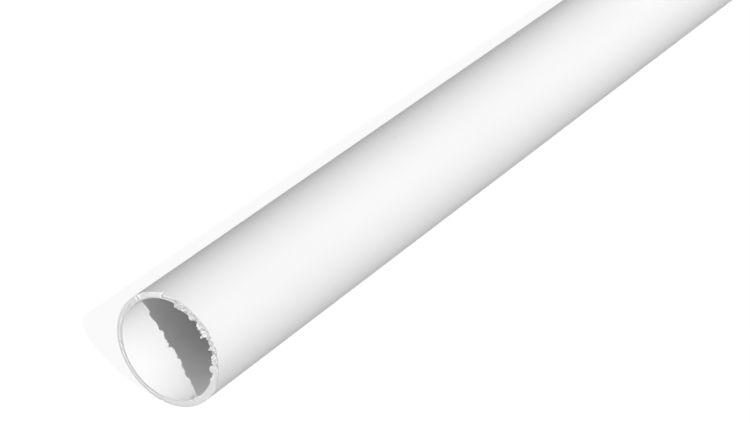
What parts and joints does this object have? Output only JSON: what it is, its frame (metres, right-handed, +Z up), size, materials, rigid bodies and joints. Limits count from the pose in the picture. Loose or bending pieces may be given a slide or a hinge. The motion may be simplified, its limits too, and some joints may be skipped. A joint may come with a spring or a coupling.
{
  "type": "rigid pvc conduit pipe",
  "caption": "Straight length of white rigid PVC conduit: a thin-walled round tube, plain at both ends, that carries and protects electrical wiring.",
  "frame": {"origin": "on the floor, under the middle of the tube as it lies", "axes": "+X along the tube from the hand-sawn end to the factory-cut end, +Z up, +Y across the tube"},
  "size_m": [2, 0.025, 0.025],
  "materials": {
    "white_pvc": "smooth extruded satin white, sawn rough at one end"
  },
  "bodies": {
    "root": {"conduit_pipe": "white_pvc"}
  },
  "joints": []
}
